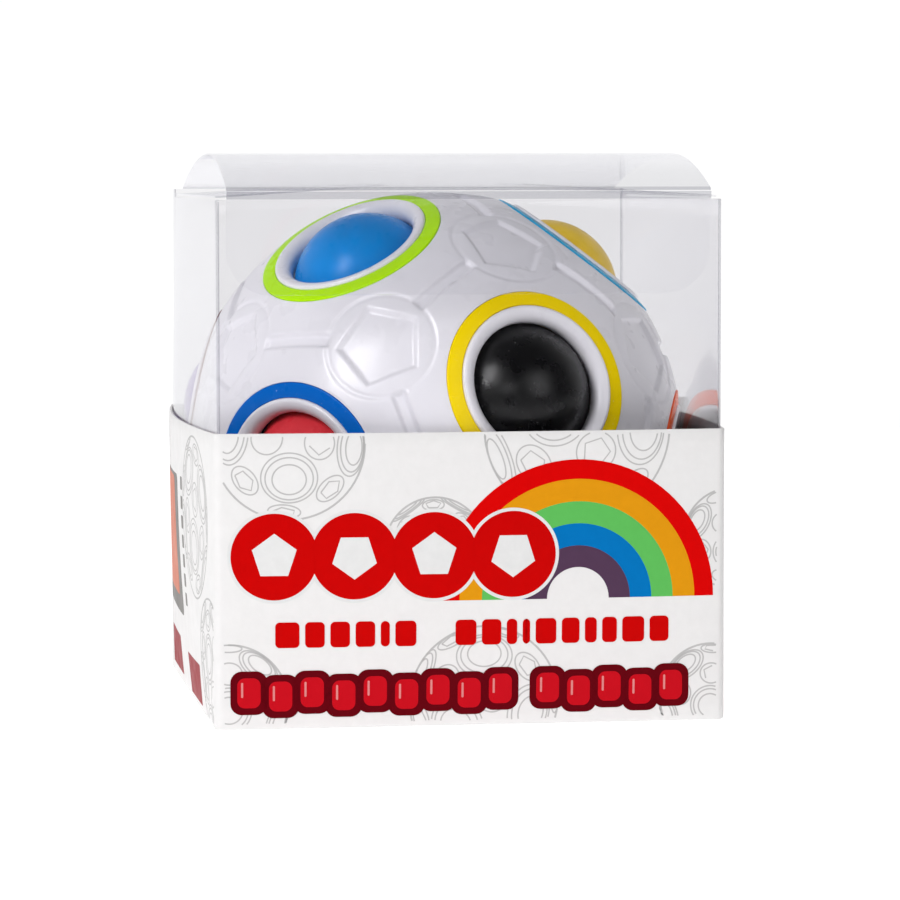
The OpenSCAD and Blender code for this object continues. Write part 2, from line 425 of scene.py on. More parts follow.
def cell_rows(count, start, steps):
    """Directions round a hole on +Z, in rows from the five-sided edge of its share in to a polar angle."""
    azimuth = np.arange(count) * 2 * math.pi / count
    local = (azimuth + FIFTH / 2) % FIFTH - FIFTH / 2
    limit = np.arctan(math.tan(HOLE_POLAR / 2) / np.cos(local))
    for t in np.linspace(1, 0, steps):
        polar = start + (limit - start) * t
        yield np.column_stack((
            np.sin(polar) * np.cos(azimuth), np.sin(polar) * np.sin(azimuth), np.cos(polar)
        ))


def circle(r, z, count):
    """Points of a circle about the Z axis."""
    azimuth = np.arange(count) * 2 * math.pi / count
    return np.column_stack((r * np.cos(azimuth), r * np.sin(azimuth), np.full(count, z)))


def hole_cell(i):
    """Rows of points of the shell's share round a hole, from its outer edge in and back out inside."""
    axis = HOLES[i]
    neighbour = next(h for h in HOLES if 0.4 < h @ axis < 0.5)
    turn = turn_to(axis, unit(neighbour - axis * (neighbour @ axis)))
    rows = []
    for d in cell_rows(FINE, math.asin((BORE_R + 0.12) / BALL_R), OUTER_ROWS):
        d = d @ turn.T
        rows.append(d * (BALL_R + relief(d)[:, None]))
    groove = ((BORE_R + 0.03, 32.42), (BORE_R, 32.3), (BORE_R, GROOVE_FLOOR))
    rows += [circle(r, z, FINE) @ turn.T for r, z in groove]
    rows += [circle(r, z, COARSE) @ turn.T for r, z in collar_section()]
    start = math.asin((COLLAR_R + 0.1) / INNER_R)
    inner = [d @ turn.T * INNER_R for d in cell_rows(COARSE, start, INNER_ROWS)]
    return rows + inner[::-1]


def shell_faces(rows, start):
    """Faces between the rows, with a row of six-sided ones where fine rows meet coarse ones."""
    faces = []
    at = start
    for a, b in zip(rows[:-1], rows[1:]):
        n, m = len(a), len(b)
        below = at + n
        if n == m:
            for j in range(n):
                k = (j + 1) % n
                faces.append((at + j, at + k, below + k, below + j))
        else:
            step = n // m
            for j in range(m):
                fine = [at + (j * step + k) % n for k in range(step + 1)]
                faces.append(tuple(fine + [below + (j + 1) % m, below + j]))
        at = below
    return faces


def whole_shell():
    """The closed, thick shell of the whole ball as one mesh object, still uncut."""
    points = []
    faces = []
    total = 0
    for i in range(len(HOLES)):
        rows = hole_cell(i)
        faces += shell_faces(rows, total)
        points += rows
        total += sum(len(r) for r in rows)
    mesh = bpy.data.meshes.new("whole_shell")
    mesh.from_pydata([tuple(p) for p in from_ball(np.vstack(points))], [], faces)
    bm = bmesh.new()
    bm.from_mesh(mesh)
    bmesh.ops.remove_doubles(bm, verts=bm.verts, dist=2e-6)
    bmesh.ops.recalc_face_normals(bm, faces=bm.faces)
    bm.to_mesh(mesh)
    bm.free()
    obj = bpy.data.objects.new("whole_shell", mesh)
    bpy.context.scene.collection.objects.link(obj)
    return obj


def half_block(up):
    """A block that holds all of the ball on one side of its parting plane."""
    size = 2 * BALL_R * MM
    corners = [(x, y, z) for z in (0, up * size) for y in (-size, size) for x in (-size, size)]
    points = [tuple(CENTRE + BALL_TURN @ np.array(c)) for c in corners]
    faces = [(0, 2, 3, 1), (4, 5, 7, 6), (0, 1, 5, 4), (2, 6, 7, 3), (0, 4, 6, 2), (1, 3, 7, 5)]
    if up < 0:
        faces = [f[::-1] for f in faces]
    mesh = bpy.data.meshes.new("cutter")
    mesh.from_pydata(points, [], faces)
    block = bpy.data.objects.new("cutter", mesh)
    bpy.context.scene.collection.objects.link(block)
    return block


def half_of(shell, name, up, material):
    """The half of the shell on one side of its parting plane, as a piece of its own."""
    cutter = half_block(up)
    cut = shell.modifiers.new("cut", "BOOLEAN")
    cut.operation = "INTERSECT"
    cut.solver = "MANIFOLD"
    cut.object = cutter
    bpy.context.view_layer.update()
    half = bpy.data.meshes.new_from_object(shell.evaluated_get(bpy.context.evaluated_depsgraph_get()))
    shell.modifiers.clear()
    bpy.data.objects.remove(cutter)
    half.materials.clear()
    half.materials.append(material)
    half.shade_smooth()
    half.set_sharp_from_angle(angle=math.radians(50))
    obj = bpy.data.objects.new(name, half)
    bpy.context.scene.collection.objects.link(obj)
    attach(obj, "puzzle")
    return obj


def make_shell():
    """The white shell: made whole, then cut in its two halves."""
    white = moulded_plastic(
        "white_shell", (0.79, 0.78, 0.825), 0.3, 0.08, spread=0.012, bump=0.02, specular=0.4
    )
    shell = whole_shell()
    for name, node, up in (("front_shell", "shell_front_half", 1), ("back_shell", "shell_back_half", -1)):
        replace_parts(half_of(shell, name, up, white), node)
    bpy.data.objects.remove(shell)


# ---- coloured rings, small balls and the foam core ----
RING_COLOURS = {
    "ring_yellow": (0.92, 0.68, 0.0), "ring_orange": (1.0, 0.13, 0.03),
    "ring_light_blue": (0.0, 0.36, 0.65), "ring_lime": (0.46, 0.85, 0.0),
    "ring_blue": (0.0, 0.13, 0.55), "ring_red": (0.75, 0.01, 0.02),
    "ring_purple": (0.16, 0.03, 0.42), "ring_pink": (0.9, 0.1, 0.32),
    "ring_maroon": (0.16, 0.01, 0.015), "ring_green": (0.0, 0.25, 0.06),
    "ring_turquoise": (0.0, 0.45, 0.4), "ring_black": (0.012, 0.012, 0.014),
}
BALL_COLOURS = {
    "ball_black": (0.0012, 0.0012, 0.0018), "ball_maroon": (0.12, 0.02, 0.02),
    "ball_yellow": (0.9, 0.6, 0.03), "ball_sky_blue": (0.0, 0.23, 0.66),
    "ball_red": (0.7, 0.04, 0.055), "ball_lime": (0.3, 0.62, 0.01),
    "ball_orange": (0.85, 0.16, 0.01), "ball_purple": (0.13, 0.03, 0.33),
    "ball_pink": (0.8, 0.1, 0.28), "ball_turquoise": (0.0, 0.38, 0.34),
    "ball_green": (0.0, 0.2, 0.05),
}
BALL_GLOSS, DARK_BALL_GLOSS = 0.14, 0.3
# moulding seam of a small ball: its height and half width
SEAM_RISE, SEAM_HALF = 0.035, 0.12
# pits of the foam, and the room between the foam and a ball that is pressed in
PIT_DEPTH = 0.12
CUP_GAP = 0.2


def make_rings():
    """Twelve flat rings, with rounded edges and a face that slopes a little towards the hole."""
    section = [(RING_IN, GROOVE_FLOOR + 0.03), (RING_OUT, GROOVE_FLOOR + 0.03), (RING_OUT, 32.45)]
    section += arc(RING_OUT - 0.2, 32.48, 0.2, 0, 80, 5)
    section += arc(RING_IN + 0.12, 32.92, 0.12, 80, 180, 5)
    for i, name in enumerate(RINGS):
        points, faces = revolve(section, 180)
        axis = HOLES[i]
        across = unit(np.cross(axis, HOLES[(i + 3) % 12] + 0.01))
        turn = turn_to(axis, across)
        plastic = moulded_plastic(
            name + "_plastic", RING_COLOURS[name], 0.28, 0.0, fleck=0.4, specular=0.1
        )
        ring = new_mesh(name + "_band", from_ball(points @ turn.T), faces, plastic, "puzzle")
        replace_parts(ring, name)


def sphere_mesh(radius, around, down, height):
    """Points and faces of a sphere about the origin, with height(directions) added to its radius."""
    rows = []
    for p in np.linspace(0, math.pi, down + 1)[1:-1]:
        rows.append(circle(math.sin(p), math.cos(p), around))
    d = np.vstack(rows + [[(0, 0, 1)], [(0, 0, -1)]])
    faces = [f[::-1] for f in skin(rows)]
    top = len(d) - 2
    bottom = len(d) - 1
    last = (len(rows) - 1) * around
    for j in range(around):
        k = (j + 1) % around
        faces.append((top, j, k))
        faces.append((bottom, last + k, last + j))
    return d * (radius + height(d)[:, None]), faces


def make_small_balls():
    """Eleven rubber balls, each with its moulding seam turned its own way."""
    for name, hole in SMALL_BALLS.items():
        low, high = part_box(name)
        radius = (high - low).x / 2 / MM
        tilt = Matrix.Rotation(1.1 + 2.3 * hole, 3, "Z") @ Matrix.Rotation(0.7 + 1.9 * hole, 3, "X")

        def seam(d, radius=radius):
            return SEAM_RISE * (np.exp(-((d[:, 2] * radius) / SEAM_HALF) ** 2) - 1)

        points, faces = sphere_mesh(radius, 128, 97, seam)
        points = node_centre(name) + points @ np.array(tilt).T * MM
        gloss = DARK_BALL_GLOSS if max(BALL_COLOURS[name]) < 0.1 else BALL_GLOSS
        rubber = satin_rubber(name + "_skin", BALL_COLOURS[name], gloss)
        ball = new_mesh(name + "_rubber", points, faces, rubber, name, 60)
        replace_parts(ball, name)


def make_core():
    """The foam ball, with a shallow cup facing each hole that leaves room for a ball that is pressed in."""
    low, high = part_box("soft_core")
    radius = (high - low).x / 2 / MM
    ball_low, ball_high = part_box("ball_black")
    cup = (ball_high - ball_low).x / 2 / MM + CUP_GAP
    rest = min(np.linalg.norm(node_centre(name) - CENTRE) for name in SMALL_BALLS) / MM
    away = rest - PRESS
    axes = HOLES @ BALL_TURN.T

    def surface(d):
        waves = np.sin(23 * d[:, 0] + 5 * d[:, 1]) * np.sin(19 * d[:, 1]) * np.sin(21 * d[:, 2])
        pits = PIT_DEPTH * (waves - 1)
        along = (d @ axes.T).max(1) * away
        inside = along**2 - away**2 + cup**2
        to_cup = along - np.sqrt(np.clip(inside, 0, None))
        return np.where(inside > 0, np.minimum(pits, to_cup - radius), pits)

    points, faces = sphere_mesh(radius, 144, 96, surface)
    core = new_mesh("foam_ball", CENTRE + points * MM, faces, foam(), "puzzle", 60)
    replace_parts(core, "soft_core")


# ---- the folded sheet: clear box, lid and flaps ----
SIDE_STEPS, CORNER_STEPS = 30, 6
FOLD_R = 0.6
# how far in from its outer face the sheet's top edge ends on the inside
FILM_RIM = -FILM_T + 0.06
# where the lid is highest, as a share of the way from its front fold to its back crease
LID_APEX = 0.38
TUCK_CORNER = 6.0
low_film, high_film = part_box("clear_box")
BULGE_X = high_film.x / MM - CORNER_X
BULGE_Y = high_film.y / MM - CORNER_Y
FILM_LOW = low_film.z / MM
MID_Z = CENTRE[2] / MM
TRAY_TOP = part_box("card_tray")[1].z / MM
TRAY_OUT = CARD_GAP + CARD_T
CREASE_Z = BOX_TOP + CREASE_RISE


def bulge(u, half, z):
    """How far a wall bows out, from 0 at its folds to 1 at its middle."""
    across = 1 - np.clip(np.abs(u) / (half - FOLD_R), 0, 1) ** 2
    return across * np.clip(1 - ((z - MID_Z) / MID_Z) ** 2, 0, 1)


def on_side(side, u, z, out):
    """A point on a wall of the box, out from its outer face. u runs to the right as seen from outside."""
    u, z = np.asarray(u, float), np.asarray(z, float)
    if side in ("front", "back"):
        half, depth, bow = CORNER_X, CORNER_Y, BULGE_Y
    else:
        half, depth, bow = CORNER_Y, CORNER_X, BULGE_X
    u, d, z = np.broadcast_arrays(u, depth + bow * bulge(u, half, z) + out, z)
    if side == "front":
        return np.stack((u, -d, z), -1)
    if side == "right":
        return np.stack((d, u, z), -1)
    if side == "back":
        return np.stack((-u, d, z), -1)
    return np.stack((-d, -u, z), -1)


def outline(z, out):
    """Points round the plan of the box at height z, counter-clockwise from the front left fold."""
    points = []
    for n, side in enumerate(("front", "right", "back", "left")):
        half = (CORNER_X, CORNER_Y)[n % 2]
        points.append(on_side(side, np.linspace(-(half - FOLD_R), half - FOLD_R, SIDE_STEPS), z, out))
        sx, sy = ((1, -1), (1, 1), (-1, 1), (-1, -1))[n]
        turn = np.radians(np.linspace(-90, 0, CORNER_STEPS)[1:-1] + 90 * n)
        r = max(FOLD_R + out, 0.05)
        points.append(np.column_stack((
            sx * (CORNER_X - FOLD_R) + r * np.cos(turn),
            sy * (CORNER_Y - FOLD_R) + r * np.sin(turn),
            np.full(len(turn), z),
        )))
    return np.vstack(points)


def open_box(levels, inner_levels):
    """Points and faces of an open-topped sheet box, from its outer levels up and its inner levels down."""
    rows = [outline(z, out) for z, out in levels] + [outline(z, out) for z, out in inner_levels]
    n = len(rows[0])
    faces = skin(rows)
    faces.append(tuple(range(n))[::-1])
    faces.append(tuple((len(rows) - 1) * n + j for j in range(n)))
    return rows, faces


def make_clear_box(film):
    """The four walls and the floor of the clear box. The levels are pairs of a height and an offset."""
    heights = np.linspace(FILM_LOW + 0.5, BOX_TOP - 0.1, 30)
    outer = [(FILM_LOW, -0.35), (FILM_LOW + 0.12, -0.08)]
    outer += [(z, 0) for z in heights] + [(BOX_TOP, -0.06)]
    inner = [(BOX_TOP, FILM_RIM)]
    inner += [(z, -FILM_T) for z in heights[::-1]] + [(FILM_LOW + FILM_T, -0.6)]
    rows, faces = open_box(outer, inner)
    # the back wall rises to the lid's crease
    for row in rows:
        lift = (row[:, 2] > BOX_TOP - 0.05) & (row[:, 1] > CORNER_Y - FOLD_R - 0.3)
        row[lift, 2] += CREASE_RISE - 0.15
    box = new_mesh("clear_walls", np.vstack(rows) * MM, faces, film, "clear_box", 70)
    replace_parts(box, "clear_box")


def sheet_grid(grid, thickness, name, material, body, node):
    """A thin closed sheet from a grid of middle points, an (n, m, 3) array in mm."""
    n, m = grid.shape[:2]
    du = np.gradient(grid, axis=0)
    dv = np.gradient(grid, axis=1)
    normal = np.cross(du, dv)
    normal /= np.linalg.norm(normal, axis=2, keepdims=True)
    top = grid + normal * thickness / 2
    bottom = grid - normal * thickness / 2
    points = np.vstack((top.reshape(-1, 3), bottom.reshape(-1, 3)))
    index = np.arange(n * m).reshape(n, m)
    faces = []
    for i in range(n - 1):
        for j in range(m - 1):
            quad = (index[i, j], index[i + 1, j], index[i + 1, j + 1], index[i, j + 1])
            faces.append(quad)
            faces.append(tuple(n * m + q for q in quad[::-1]))
    rim = rim_of(index)
    for a, b in zip(rim, rim[1:] + rim[:1]):
        faces.append((a, b, n * m + b, n * m + a))
    faces = [tuple(int(i) for i in f) for f in faces]
    piece = new_mesh(name, points * MM, faces, material, body, 60)
    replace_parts(piece, node)


def runs_of(keep):
    """The unbroken runs of True, as arrays of at least three numbers."""
    starts = np.flatnonzero(np.diff(keep.astype(int))) + 1
    return [run for run in np.split(np.arange(len(keep)), starts) if keep[run[0]] and len(run) > 2]


def rounded_width(t, half, radius, length):
    """Half width of a flap at distance t from its crease, with its far corners rounded."""
    over = np.clip(t - (length - radius), 0, radius)
    return half - radius + np.sqrt(np.clip(radius**2 - over**2, 0, None))


def make_lid(film):
    """The lid, which arches from the back crease to the front fold."""
    low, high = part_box("lid_panel")
    half_x = high.x / MM
    front, back = low.y / MM, high.y / MM
    crest = high.z / MM - FILM_T / 2
    apex = front + LID_APEX * (back - front)
    y = np.linspace(front, back, 61)
    t = np.where(y < apex, (apex - y) / (apex - front), (y - apex) / (back - apex))
    z = crest - (crest - CREASE_Z) * t**2
    x = np.linspace(-half_x, half_x, 41)
    grid = np.stack(np.broadcast_arrays(x[:, None], y[None, :], z[None, :]), -1)
    sheet_grid(grid, FILM_T, "arched_lid", film, "lid", "lid_panel")


def make_tuck_flap(film):
    """The lid's front flap, which hangs behind the front wall and leans back a little."""
    low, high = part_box("tuck_flap")
    length = (high.z - low.z) / MM
    lean = (high.y - low.y) / MM
    half_x = high.x / MM
    rounding = np.sin(np.linspace(0, math.pi / 2, 24))
    t = np.concatenate((np.linspace(0, 0.6, 18), rounding * 0.4 + 0.6))
    s = np.linspace(-1, 1, 41)
    width = rounded_width(t * length, half_x, TUCK_CORNER, length)
    grid = np.stack(np.broadcast_arrays(
        s[:, None] * width[None, :],
        (low.y / MM + FILM_T / 2 + (lean - FILM_T) * t)[None, :],
        (high.z / MM - length * t)[None, :],
    ), -1)
    sheet_grid(grid, FILM_T, "tuck_flap_sheet", film, "tuck_flap", "tuck_flap")


def make_dust_flaps(film):
    """The two side flaps under the lid, narrower towards their free edges."""
    for side, node in ((-1, "dust_flap_left"), (1, "dust_flap_right")):
        low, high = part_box(node)
        length = (high.x - low.x) / MM
        outer = (high.x if side > 0 else low.x) / MM
        front, back = low.y / MM, high.y / MM
        t = np.linspace(0, 1, 25)
        start = front + length / 2 * t**1.5
        end = back - (length + 2) * t
        s = np.linspace(0, 1, 31)
        x = outer - side * length * t
        y = start[:, None] + (end - start)[:, None] * s[None, :]
        z = low.z / MM + FILM_T / 2 + (high.z - low.z) / MM * t
        grid = np.stack(np.broadcast_arrays(x[:, None], y, z[:, None]), -1)
        sheet_grid(grid, FILM_T, node + "_sheet", film, node, node)


# ---- the printed card tray ----
def make_tray():
    """The card tray, which follows the bulge of the clear box."""
    card = printed_card("white_card", (0.63, 0.622, 0.622), 0.5, specular=0.15)
    heights = np.linspace(0.45, TRAY_TOP - 0.1, 22)
    outer = [(0.0, TRAY_OUT - 0.35), (0.1, TRAY_OUT - 0.1)]
    outer += [(z, TRAY_OUT) for z in heights] + [(TRAY_TOP, TRAY_OUT - 0.08)]
    inner = [(TRAY_TOP, CARD_GAP + 0.08)]
    inner += [(z, CARD_GAP) for z in heights[::-1]] + [(CARD_T, CARD_GAP)]
    rows, faces = open_box(outer, inner)
    tray = new_mesh("card_sleeve", np.vstack(rows) * MM, faces, card, "card_tray", 50)
    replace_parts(tray, "card_tray")


# longest step of a printed shape, the height of one level of ink, and how deep a patch starts in the card
PRINT_STEP = 2.5
INK_T = 0.012
INK_ROOT = 0.01


class Print:
    """One ink on the tray's walls: thin closed patches in one piece. Higher levels lie over lower ones."""

    def __init__(self, name, colour, level):
        self.name = name
        self.colour = colour
        self.level = level
        self.points = []
        self.faces = []
        self.total = 0

    def patch(self, side, u, z):
        """A patch from grids of u and z, two (n, m) arrays."""
        n, m = u.shape
        top = on_side(side, u, z, TRAY_OUT + INK_T * self.level)
        bottom = on_side(side, u, z, TRAY_OUT - INK_ROOT)
        self.points += [top.reshape(-1, 3), bottom.reshape(-1, 3)]
        index = self.total + np.arange(n * m).reshape(n, m)
        for i in range(n - 1):
            for j in range(m - 1):
                quad = (index[i, j], index[i, j + 1], index[i + 1, j + 1], index[i + 1, j])
                self.faces.append(quad)
                self.faces.append(tuple(n * m + q for q in quad[::-1]))
        rim = rim_of(index)
        for a, b in zip(rim, rim[1:] + rim[:1]):
            self.faces.append((b, a, n * m + a, n * m + b))
        self.total += 2 * n * m

    def band(self, side, cu, cz, r0, r1, a0, a1):
        """Part of a flat ring, angles in degrees."""
        a = np.radians(np.linspace(a1, a0, max(4, int(abs(a1 - a0) / 4) + 1)))
        r = np.linspace(r0, r1, 4)
        self.patch(side, cu + r[:, None] * np.cos(a), cz + r[:, None] * np.sin(a))

    def fan(self, side, cu, cz, rim):
        """A flat shape whose rim is a closed list of points about its middle, counter-clockwise."""
        rim = np.array(rim)[::-1]
        scale = np.array([0.001, 0.35, 0.7, 1.0])
        self.patch(side, cu + scale[:, None] * rim[:, 0], cz + scale[:, None] * rim[:, 1])

    def blob(self, side, cu, cz, half_u, half_z, corner):
        """A rectangle with rounded corners, in steps short enough to follow the wall's bow."""
        turn = np.sin(np.radians(np.linspace(15, 90, 6))) * corner
        flat = half_u - corner
        middle = np.linspace(-flat, flat, int(2 * flat / PRINT_STEP) + 2)
        u = np.concatenate((-flat - turn[::-1], middle, flat + turn))
        over = np.clip(np.abs(u) - flat, 0, corner)
        tall = half_z - corner + np.sqrt(corner**2 - over**2)
        t = np.linspace(-1, 1, int(2 * half_z / PRINT_STEP) + 2)
        self.patch(side, cu + u[None, :] + 0 * t[:, None], cz + t[:, None] * tall[None, :])

    def stroke(self, side, points, width):
        """A thin line along points, cut where it leaves the wall."""
        half = (CORNER_X if side in ("front", "back") else CORNER_Y) - FOLD_R - 0.1
        points = np.asarray(points, float)
        keep = np.abs(points[:, 0]) < half
        keep &= (points[:, 1] > 0.7) & (points[:, 1] < TRAY_TOP - 0.3)
        for run in runs_of(keep):
            line = points[run]
            along = np.gradient(line, axis=0)
            along /= np.linalg.norm(along, axis=1, keepdims=True) + 1e-12
            aside = np.column_stack((-along[:, 1], along[:, 0])) * width / 2
            edges = np.stack((line - aside, line + aside))
            self.patch(side, edges[..., 0], edges[..., 1])

    def finish(self):
        """The ink's one piece."""
        ink = printed_card(self.name + "_ink", self.colour, 0.5, 0.03, 0.03)
        points = np.vstack(self.points) * MM
        faces = [tuple(int(i) for i in f) for f in self.faces]
        new_mesh(self.name, points, faces, ink, "card_tray", 50)


# angles from the middle of a hole to its three circles, and from the middle of a panel to its two outlines
HOLE_CIRCLES = (22, 18.5, 13)
PANEL_CIRCLE, PANEL_PENTAGON = (12.5,), (9,)
LINE_W, THIN_LINE_W = 0.26, 0.195


def draw_ball(ink, side, cu, cz, radius, lean, turn):
    """Line drawing of a ringed ball: its outline, circles round its holes, and panels with pentagons."""
    full = np.radians(np.linspace(0, 360, 73))
    five = np.radians(np.linspace(0, 360, 6))
    ink.stroke(side, np.column_stack((cu + radius * np.cos(full), cz + radius * np.sin(full))), LINE_W)
    tilt = np.array(Matrix.Rotation(lean, 3, "X") @ Matrix.Rotation(turn, 3, "Z"))
    shapes = [(hole, full, HOLE_CIRCLES) for hole in HOLES]
    shapes += [(panel, full, PANEL_CIRCLE) for panel in PANELS]
    shapes += [(panel, five, PANEL_PENTAGON) for panel in PANELS]
    for centre, steps, openings in shapes:
        middle = tilt @ centre
        if middle[2] < 0.1:
            continue
        across = tilt @ unit(np.cross(centre, (0.31, 0.9, 0.23)))
        other = np.cross(middle, across)
        for opening in np.radians(openings):
            rim = np.cos(opening) * middle + np.sin(opening) * (
                np.cos(steps)[:, None] * across + np.sin(steps)[:, None] * other
            )
            points = np.column_stack((cu + radius * rim[:, 0], cz + radius * rim[:, 1]))
            for run in runs_of(rim[:, 2] > 0):
                ink.stroke(side, points[run], THIN_LINE_W)


# the rainbow's inks from the outside in, its radii, and its middle: across and up
RAINBOW = (
    ("print_red_bow", (0.533, 0.0, 0.0)), ("print_orange_bow", (0.577, 0.237, 0.004)),
    ("print_green_bow", (0.089, 0.385, 0.081)), ("print_blue_bow", (0.0, 0.133, 0.385)),
    ("print_purple_bow", (0.067, 0.033, 0.067)),
)
BOW_RADII = (18.6, 16.0, 13.0, 10.05, 7.1, 4.2)
BOW_AT = (14.1, 16.9)
# line drawings of balls: across, up, radius, lean and turn
LINE_ART = (
    (-24.5, 37.9, 10, 0.5, 0.2), (-5.2, 24, 6.7, -0.4, 1.0), (14, 39.8, 12.6, 0.9, 0.6),
    (35.2, 24.6, 6.7, 0.3, 0.0), (-32.6, 3.4, 8, 1.2, 0.3), (1.5, 3.4, 10, -0.7, 0.5),
    (32.3, 3.4, 7, 0.2, 0.9),
)
SIDE_ART = ((19, 27, 11, 0.4, 0.7), (30, 8, 9, 1.0, 0.4), (-26, 35, 8, -0.5, 0.1))
# four discs in place of the title: the first one's middle, the step to the next, and radii
DISC_AT, DISC_STEP = (-26.5, 23.0), 10.6
DISC_EDGE_R, DISC_R, DISC_MARK_R = 6.2, 5.75, 3.1
# dashes in place of the second line: where each group starts, and its widths
DASHES = (
    (-26.4, (3.2, 2.6, 2.6, 2.6, 1.2, 2.8)),
    (-2.4, (2.8, 2.6, 1.4, 1.0, 2.8, 2.4, 1.6, 2.0, 3.0, 2.6)),
)
DASH_Z, DASH_GAP = 12.6, 0.75
# beads in place of the maker's line: where each group starts, and its count
BEADS = ((-29.9, 9), (10.1, 5))
BEAD_Z, BEAD_STEP, BEAD_SHIFT = 4.7, 4.2, 0.25


def print_rainbow():
    for n, (name, colour) in enumerate(RAINBOW):
        ink = Print(name, colour, 2)
        for side in ("front", "back"):
            ink.band(side, *BOW_AT, BOW_RADII[n + 1], BOW_RADII[n], 0, 180)
        ink.finish()


def print_discs(side, edge, disc, mark):
    """Four overlapping discs, each with a pentagon. Every second pentagon is turned by 36 degrees."""
    cu, cz = DISC_AT
    for k in range(4):
        start = 90 + 36 * (k % 2)
        edge.band(side, cu + DISC_STEP * k, cz, 0.01, DISC_EDGE_R, 0, 360)
        disc.band(side, cu + DISC_STEP * k, cz, 0.01, DISC_R, 0, 360)
        mark.fan(side, cu + DISC_STEP * k, cz, arc(0, 0, DISC_MARK_R, start, start + 360, 6))


def print_dashes(side, ink):
    for start, widths in DASHES:
        for width in widths:
            ink.blob(side, start + width / 2, DASH_Z, width / 2, 1.7, 0.6)
            start += width + DASH_GAP


def print_beads(side, outer, inner, glint):
    for start, count in BEADS:
        for k in range(count):
            cu = start + BEAD_STEP * k
            cz = BEAD_Z + BEAD_SHIFT * (-1) ** k
            outer.blob(side, cu, cz, 2.45, 2.9, 1.5)
            inner.blob(side, cu, cz, 1.55, 2.0, 1.0)
            glint.blob(side, cu - 0.9, cz + 0.4, 0.14, 1.0, 0.12)


def print_fronts():
    """The plain shapes that stand in for the title, the second line and the maker's line."""
    white = Print("print_white_outline", (0.592, 0.592, 0.592), 3)
    red = Print("print_red_shapes", (0.444, 0.0, 0.0), 4)
    pale = Print("print_white_pentagons", (0.592, 0.592, 0.592), 5)
    dark = Print("print_dark_beads", (0.096, 0.0, 0.003), 4)
    bright = Print("print_bright_beads", (0.429, 0.003, 0.009), 5)
    glint = Print("print_bead_glints", (0.555, 0.185, 0.185), 6)
    for side in ("front", "back"):
        print_discs(side, white, red, pale)
        print_dashes(side, red)
        print_beads(side, dark, bright, glint)
    for ink in (white, red, pale, dark, bright, glint):
        ink.finish()


def print_sides():
    """A panel, a column of dashes and two blocks: across, up, half width, half height and corner."""
    grey = Print("print_side_panel", (0.192, 0.185, 0.178), 2)
    warm = Print("print_side_picture", (0.533, 0.192, 0.133), 3)
    deep = Print("print_side_blocks", (0.266, 0.037, 0.044), 2)
    for side in ("left", "right"):
        grey.blob(side, -14, 21.5, 15, 10, 1.5)
        warm.blob(side, -15.5, 22.5, 11.5, 8.5, 1.5)
        for k in range(7):
            grey.blob(side, 6.5, 14.5 + 2.7 * k, 1.0, 0.9, 0.3)
        deep.blob(side, -20, 4.6, 9, 2.8, 0.3)
        deep.blob(side, 10, 3.9, 8, 2.8, 0.3)
    for ink in (grey, warm, deep):
        ink.finish()


def make_print():
    """All inks of the tray."""
    line_art = Print("print_line_art", (0.40, 0.395, 0.395), 1)
    for side in ("front", "back"):
        for ball in LINE_ART:
            draw_ball(line_art, side, *ball)
    for side in ("left", "right"):
        for ball in SIDE_ART:
            draw_ball(line_art, side, *ball)
    line_art.finish()
    print_rainbow()
    print_fronts()
    print_sides()


# ---- stage, lights and camera ----
# light from the back, from the room in front, and from the floor itself
SWEEP_LEVEL, ROOM_LEVEL, FLOOR_GLOW = 1.02, 0.02, 0.7
# where the white sweep begins and ends towards the back, and where and how far it fades upwards
SWEEP_BACK = (-0.2, 0.5)
SWEEP_TOP, TOP_LEVEL = (0.35, 0.85), 0.5
FLOOR_NEAR, FLOOR_FAR, FLOOR_HALF = -0.30, 0.55, 0.9
# the camera as fitted to the photo: its place, its angles in degrees, and its lens
CAMERA_AT = (-0.08175, -0.5562, 0.0736)
HEADING, DROP, ROLL = 8.594, 3.988, -0.088
LENS, SENSOR = 159.45, 36.0
PACK_MIDDLE = (0, 0, 0.04)


def make_stage():
    """A pale floor that glows a little, and the world round it."""
    m = Nodes("pale_floor")
    m.put(m.shader.inputs["Base Color"], m.grey_ramp(m.noise(4, 2), 0.86, 0.88))
    m.shader.inputs["Roughness"].default_value = 0.9
    m.shader.inputs["Emission Color"].default_value = (1, 1, 1, 1)
    m.shader.inputs["Emission Strength"].default_value = FLOOR_GLOW
    mesh = bpy.data.meshes.new("floor")
    corners = [
        (-FLOOR_HALF, FLOOR_NEAR, 0), (FLOOR_HALF, FLOOR_NEAR, 0),
        (FLOOR_HALF, FLOOR_FAR, 0), (-FLOOR_HALF, FLOOR_FAR, 0),
    ]
    mesh.from_pydata(corners, [], [(0, 1, 2, 3)])
    mesh.materials.append(m.material)
    floor = bpy.data.objects.new("floor", mesh)
    bpy.context.scene.collection.objects.link(floor)
    bpy.context.scene.world = make_world()


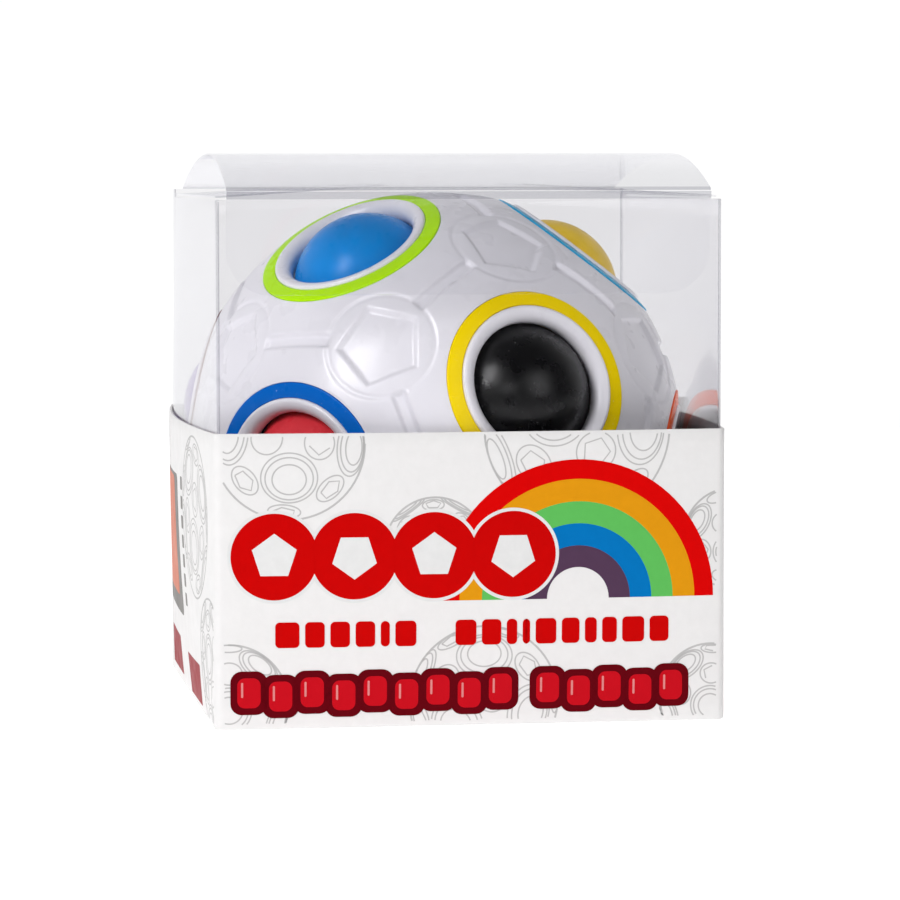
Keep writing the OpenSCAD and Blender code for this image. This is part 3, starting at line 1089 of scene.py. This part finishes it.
def make_world():
    """The surroundings: white to the camera, and a white sweep low at the back to all reflections."""
    world = bpy.data.worlds.new("studio")
    world.use_nodes = True
    tree = world.node_tree
    place = tree.nodes.new("ShaderNodeTexCoord")
    split = tree.nodes.new("ShaderNodeSeparateXYZ")
    tree.links.new(place.outputs["Generated"], split.inputs[0])

    def fade(socket, start, end, low, high):
        node = tree.nodes.new("ShaderNodeMapRange")
        for key, value in (("From Min", start), ("From Max", end), ("To Min", low), ("To Max", high)):
            node.inputs[key].default_value = value
        tree.links.new(socket, node.inputs["Value"])
        return node.outputs[0]

    def join(operation, a, b):
        node = tree.nodes.new("ShaderNodeMath")
        node.operation = operation
        tree.links.new(a, node.inputs[0])
        tree.links.new(b, node.inputs[1])
        return node.outputs[0]

    back = fade(split.outputs["Y"], *SWEEP_BACK, ROOM_LEVEL, SWEEP_LEVEL)
    top = fade(split.outputs["Z"], *SWEEP_TOP, 1, TOP_LEVEL)
    path = tree.nodes.new("ShaderNodeLightPath")
    seen = fade(path.outputs["Is Camera Ray"], 0, 1, 0, SWEEP_LEVEL)
    level = join("MAXIMUM", join("MULTIPLY", back, top), seen)
    sky = tree.nodes["Background"]
    tree.links.new(level, sky.inputs["Strength"])
    sky.inputs["Color"].default_value = (1, 1, 1, 1)
    return world


def area_light(name, place, size, power):
    """A softbox that faces the middle of the pack."""
    lamp = bpy.data.lights.new(name, "AREA")
    lamp.shape = "RECTANGLE"
    lamp.size, lamp.size_y = size
    lamp.energy = power
    obj = bpy.data.objects.new(name, lamp)
    obj.location = place
    obj.rotation_euler = (Vector(PACK_MIDDLE) - Vector(place)).to_track_quat("-Z", "Y").to_euler()
    bpy.context.scene.collection.objects.link(obj)


def make_camera():
    cam = bpy.data.objects.new("camera", bpy.data.cameras.new("camera"))
    cam.data.lens = LENS
    cam.data.sensor_width = SENSOR
    cam.data.clip_start = 0.01
    heading, drop, roll = (math.radians(a) for a in (HEADING, DROP, ROLL))
    forward = Vector((
        math.sin(heading) * math.cos(drop), math.cos(heading) * math.cos(drop), -math.sin(drop)
    ))
    aim = forward.to_track_quat("-Z", "Y").to_matrix()
    cam.location = CAMERA_AT
    cam.rotation_euler = (aim @ Matrix.Rotation(roll, 3, "Z")).to_euler()
    bpy.context.scene.collection.objects.link(cam)
    bpy.context.scene.camera = cam


def make_films():
    """The clear box, its lid and its flaps. Each fold is a box of low and high corners, in mm."""
    # the folds where the sheets are darkened with painted shade
    corner_folds = [
        ((CORNER_X - 0.45, CORNER_Y - 0.45, 0), (CORNER_X + 1, CORNER_Y + 1, BOX_TOP + 5)),
    ]
    front_fold = [
        ((0, CORNER_Y - 1.6, BOX_TOP + 0.05), (CORNER_X + 1, CORNER_Y + 1, CREASE_Z + 0.35)),
    ]
    make_clear_box(clear_film("clear_walls_film", (0.95, 0.948, 0.954), corner_folds))
    make_lid(clear_film("clear_lid_film", (0.912, 0.912, 0.92), front_fold))
    folded = clear_film("clear_flap_film", (0.985, 0.985, 0.988), front_fold, 0.004)
    make_tuck_flap(folded)
    make_dust_flaps(folded)


make_camera()
make_stage()
area_light("key_softbox", (-0.52, -0.42, 0.48), (0.22, 0.34), 4.6)
area_light("fill_softbox", (0.5, -0.85, 0.4), (0.6, 0.6), 3.2)
area_light("low_fill", (-0.3, -1.0, 0.35), (0.5, 0.3), 1.4)
make_shell()
make_rings()
make_small_balls()
make_core()
make_films()
make_tray()
make_print()
bpy.context.scene.view_settings.view_transform = "Standard"
